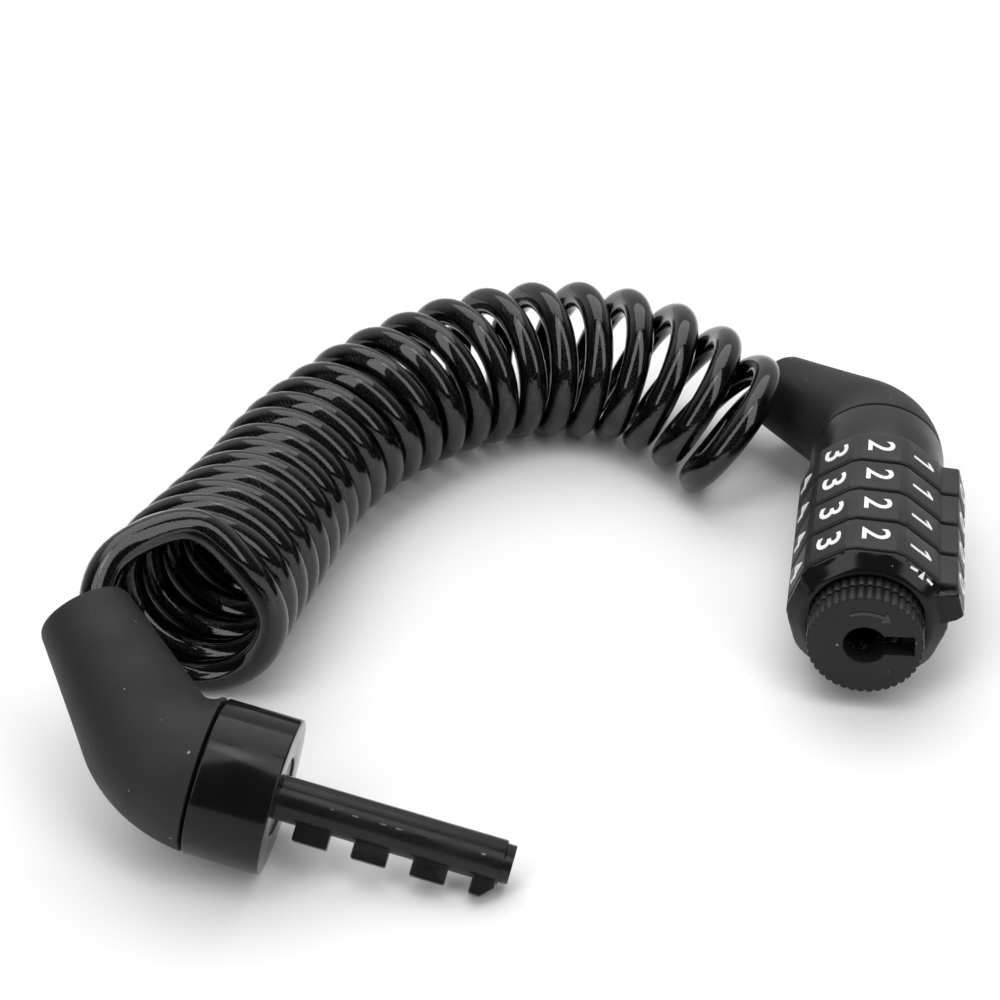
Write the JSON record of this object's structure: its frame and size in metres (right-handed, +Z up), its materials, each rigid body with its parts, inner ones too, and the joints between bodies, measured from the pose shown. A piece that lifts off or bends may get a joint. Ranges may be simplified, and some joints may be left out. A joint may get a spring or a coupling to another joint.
{
  "type": "cable lock",
  "caption": "Coiled combination cable lock: numbered dials on a lock head, a smoke-black coiled steel cable and an elbowed plug with a toothed bolt.",
  "frame": {"origin": "centre of the footprint on the floor, z = 0 at the lowest point", "axes": "+Z up; the lock head's axis lies along Y with its keyway facing -Y; +X towards the thumb lugs' side"},
  "size_m": [0.0996, 0.1114, 0.0263],
  "materials": {
    "soft_touch_black": "soft-touch matt black",
    "black_lacquer": "satin black paint",
    "dial_black": "satin charcoal moulding",
    "gloss_black": "polished black moulding",
    "smoke_pvc": "glossy smoke-black translucent PVC",
    "steel": "bright steel",
    "black_zinc": "black zinc plate on steel"
  },
  "bodies": {
    "lock_head": {"lock_elbow": "soft_touch_black", "lock_collar": "black_lacquer", "lock_spindle": "black_zinc", "lock_pin": "steel", "lock_ferrule": "steel", "wave_spring": "steel", "front_flange": "gloss_black", "knurled_ring": "gloss_black", "cable_jacket_lock_side": "smoke_pvc", "steel_core_lock_side": "steel"},
    "dial_1": {"dial_1": "dial_black", "code_ring_1": "black_zinc"},
    "dial_2": {"dial_2": "dial_black", "code_ring_2": "black_zinc"},
    "dial_3": {"dial_3": "dial_black", "code_ring_3": "black_zinc"},
    "dial_4": {"dial_4": "dial_black", "code_ring_4": "black_zinc"},
    "knob": {"set_knob": "gloss_black", "knob_clip": "steel"},
    "coil": {"cable_jacket_middle": "smoke_pvc", "steel_core_middle": "steel"},
    "plug": {"cable_jacket_plug_side": "smoke_pvc", "steel_core_plug_side": "steel", "plug_elbow": "soft_touch_black", "plug_ferrule": "steel", "plug_collar": "gloss_black", "plug_pin": "steel", "locking_bolt": "black_zinc"}
  },
  "joints": [
    {"name": "dial_1_turn", "type": "hinge", "parent": "lock_head", "child": "dial_1", "pos_m": [0.03863, 0.01688, 0.00933], "axis": [0, 1, 0], "continuous": true},
    {"name": "dial_2_turn", "type": "hinge", "parent": "lock_head", "child": "dial_2", "pos_m": [0.03863, 0.01048, 0.00933], "axis": [0, 1, 0], "continuous": true},
    {"name": "dial_3_turn", "type": "hinge", "parent": "lock_head", "child": "dial_3", "pos_m": [0.03863, 0.00408, 0.00933], "axis": [0, 1, 0], "continuous": true},
    {"name": "dial_4_turn", "type": "hinge", "parent": "lock_head", "child": "dial_4", "pos_m": [0.03863, -0.00232, 0.00933], "axis": [0, 1, 0], "continuous": true},
    {"name": "knob_turn", "type": "hinge", "parent": "lock_head", "child": "knob", "pos_m": [0.03863, -0.01182, 0.00933], "axis": [0, 1, 0], "range_deg": [0, 90]},
    {"name": "coil_bend", "type": "hinge", "parent": "lock_head", "child": "coil", "pos_m": [-0.00769, 0.05309, 0.01047], "axis": [0, 0, -1], "range_deg": [0, 60]},
    {"name": "coil_stretch", "type": "slide", "parent": "coil", "child": "plug", "axis": [-0.1289, -0.9917, 0], "range_m": [0, 0.1]}
  ]
}
